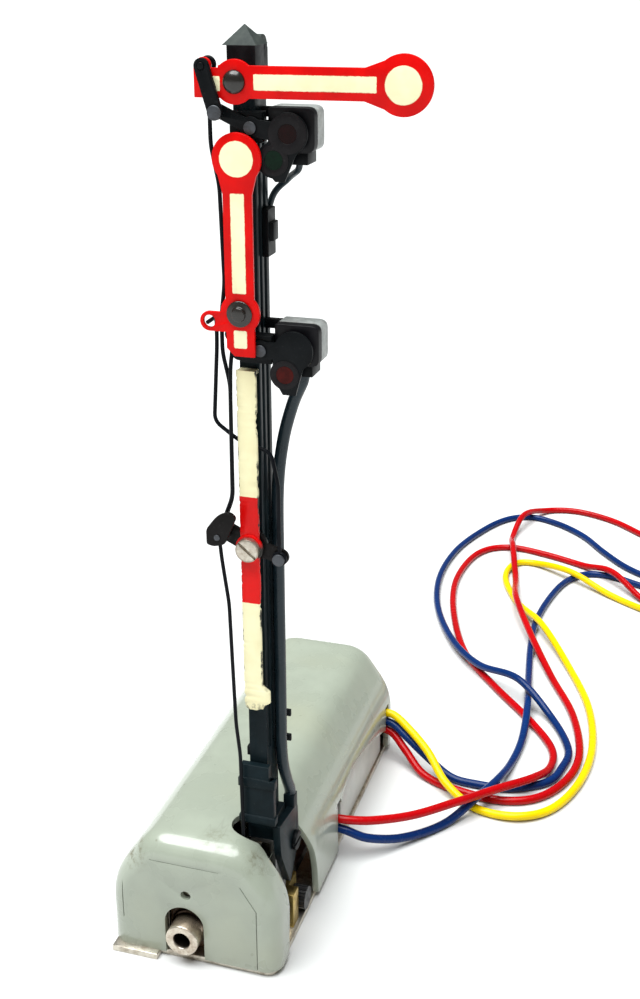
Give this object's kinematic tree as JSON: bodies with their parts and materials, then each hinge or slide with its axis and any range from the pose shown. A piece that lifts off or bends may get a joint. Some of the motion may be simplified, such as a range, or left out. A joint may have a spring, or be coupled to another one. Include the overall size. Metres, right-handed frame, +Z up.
{
  "type": "model signal mast",
  "caption": "Model railway semaphore signal with two linked arms, coloured spectacles and lanterns, worked by a solenoid in its long sheet-metal base.",
  "frame": {"origin": "centre of the base, on its underside", "axes": "+X across the base, towards the mast and its lanterns; +Y along the base, away from the arms; +Z up the mast"},
  "size_m": [0.0764, 0.1578, 0.11],
  "materials": {
    "cover_paint": "semi-gloss, grey-green, scuffed",
    "panel_grey": "semi-gloss, light grey",
    "nickel": "dull nickel plate",
    "steel": "raw sheet",
    "mast_paint": "semi-gloss, blue-black",
    "head_paint": "matt, dark grey",
    "black_metal": "blackened",
    "wire_black": "blackened spring wire",
    "signal_red": "gloss, signal red with cream stripes",
    "board_paint": "white and red, chipped",
    "rivet_dark": "browned",
    "brass": "dull",
    "bakelite": "brown laminate",
    "bobbin_plastic": "natural",
    "copper": "enamelled winding",
    "knob_black": "moulded",
    "red_lens": "translucent red",
    "green_lens": "translucent green",
    "orange_lens": "translucent red-orange",
    "lantern_grey": "semi-gloss, dirty grey-white",
    "bulb_glass": "clear",
    "lamp_wire": "dark insulated lead",
    "yellow_pvc": "yellow insulation",
    "blue_pvc": "blue insulation",
    "red_pvc": "red insulation"
  },
  "bodies": {
    "frame": {"base_plate": "nickel", "base_cover": "cover_paint", "side_panel": "panel_grey", "plug_socket": "nickel", "socket_insulator": "bakelite", "front_bracket": "nickel", "cover_screw": "nickel", "coil_yoke": "steel", "coil_bobbins": "bobbin_plastic", "coil_windings": "copper", "lever_bracket": "nickel", "lever_pin": "nickel", "terminal_board": "bakelite", "solder_tags": "brass", "contact_springs": "brass", "mast_post": "steel", "mast_foot": "mast_paint", "foot_screw": "black_metal", "terminal_block": "brass", "terminal_screw": "knob_black", "mast": "mast_paint", "mast_head": "head_paint", "hoist_bracket": "head_paint", "control_box": "mast_paint", "mast_board": "board_paint", "lamp_lead": "lamp_wire", "mast_clips": "black_metal", "rocker_screw": "nickel", "upper_arm_rivet": "rivet_dark", "spectacle_pins": "steel", "lower_arm_screw": "rivet_dark", "upper_lantern": "lantern_grey", "lower_lantern": "lantern_grey", "lantern_bulbs": "bulb_glass", "lantern_brackets": "black_metal", "yellow_lead": "yellow_pvc", "rear_blue_lead": "blue_pvc", "rear_red_lead": "red_pvc", "front_red_lead": "red_pvc", "front_blue_lead": "blue_pvc", "lead_plugs": "knob_black"},
    "rocker": {"rocker": "rivet_dark", "rocker_pins": "steel"},
    "upper_arm": {"upper_arm": "signal_red", "tail_pin": "black_metal"},
    "tail_link": {"tail_link": "black_metal"},
    "upper_spectacle": {"upper_spectacle": "black_metal", "upper_red_lens": "red_lens", "upper_green_lens": "green_lens", "link_rivet": "steel"},
    "lower_arm": {"lower_arm": "signal_red"},
    "lower_spectacle": {"lower_spectacle": "black_metal", "lower_lens": "orange_lens", "crank_pin": "steel"},
    "upper_arm_rod": {"upper_arm_rod": "wire_black"},
    "lower_arm_rod": {"lower_arm_rod": "wire_black"},
    "spectacle_rod": {"spectacle_rod": "wire_black"},
    "drive_rod": {"drive_rod": "wire_black"},
    "drive_lever": {"drive_lever": "steel"},
    "plunger": {"plunger": "nickel"}
  },
  "joints": [
    {"name": "rocker_turn", "type": "hinge", "parent": "frame", "child": "rocker", "pos_m": [0.0068, -0.0235, 0.0548], "axis": [0, -1, 0], "range_deg": [0, 45]},
    {"name": "upper_arm_turn", "type": "hinge", "parent": "frame", "child": "upper_arm", "pos_m": [0.0068, -0.0235, 0.1048], "axis": [0, -1, 0], "range_deg": [0, 45]},
    {"name": "upper_spectacle_turn", "type": "hinge", "parent": "frame", "child": "upper_spectacle", "pos_m": [0.0081, -0.0235, 0.1004], "axis": [0, -1, 0], "range_deg": [0, 45]},
    {"name": "lower_spectacle_turn", "type": "hinge", "parent": "frame", "child": "lower_spectacle", "pos_m": [0.0087, -0.0235, 0.0777], "axis": [0, -1, 0], "range_deg": [0, 45]},
    {"name": "lower_arm_turn", "type": "hinge", "parent": "frame", "child": "lower_arm", "pos_m": [0.0068, -0.0235, 0.0817], "axis": [0, 1, 0], "range_deg": [0, 45]},
    {"name": "upper_arm_rod_turn", "type": "hinge", "parent": "rocker", "child": "upper_arm_rod", "pos_m": [0.0036, -0.0235, 0.0563], "axis": [0, 1, 0], "range_deg": [0, 45]},
    {"name": "spectacle_rod_turn", "type": "hinge", "parent": "rocker", "child": "spectacle_rod", "pos_m": [0.0036, -0.0235, 0.0563], "axis": [0, 1, 0], "range_deg": [0, 45]},
    {"name": "drive_rod_turn", "type": "hinge", "parent": "rocker", "child": "drive_rod", "pos_m": [0.0036, -0.0235, 0.0563], "axis": [0, 1, 0], "range_deg": [0, 45]},
    {"name": "lower_arm_rod_turn", "type": "hinge", "parent": "rocker", "child": "lower_arm_rod", "pos_m": [0.0102, -0.0235, 0.0538], "axis": [0, 1, 0], "range_deg": [0, 46]},
    {"name": "tail_link_turn", "type": "hinge", "parent": "upper_arm", "child": "tail_link", "pos_m": [0.0036, -0.0235, 0.1063], "axis": [0, 1, 0], "range_deg": [0, 45]},
    {"name": "drive_lever_turn", "type": "hinge", "parent": "frame", "child": "drive_lever", "pos_m": [0.0027, -0.016, 0.005], "axis": [1, 0, 0], "range_deg": [0, 20]},
    {"name": "plunger_slide", "type": "slide", "parent": "frame", "child": "plunger", "axis": [0, -1, 0], "range_m": [0, 0.0015]}
  ],
  "couplings": [
    {"joint": "upper_arm_turn", "follows": "rocker_turn", "ratio": 1},
    {"joint": "upper_spectacle_turn", "follows": "rocker_turn", "ratio": 1},
    {"joint": "lower_spectacle_turn", "follows": "rocker_turn", "ratio": 1},
    {"joint": "lower_arm_turn", "follows": "rocker_turn", "ratio": 1},
    {"joint": "upper_arm_rod_turn", "follows": "rocker_turn", "ratio": 1},
    {"joint": "spectacle_rod_turn", "follows": "rocker_turn", "ratio": 1},
    {"joint": "drive_rod_turn", "follows": "rocker_turn", "ratio": 1},
    {"joint": "lower_arm_rod_turn", "follows": "rocker_turn", "ratio": 1.0115},
    {"joint": "tail_link_turn", "follows": "rocker_turn", "ratio": 1},
    {"joint": "drive_lever_turn", "follows": "rocker_turn", "ratio": 0.44},
    {"joint": "plunger_slide", "follows": "rocker_turn", "m_per_rad": 0.001833}
  ]
}
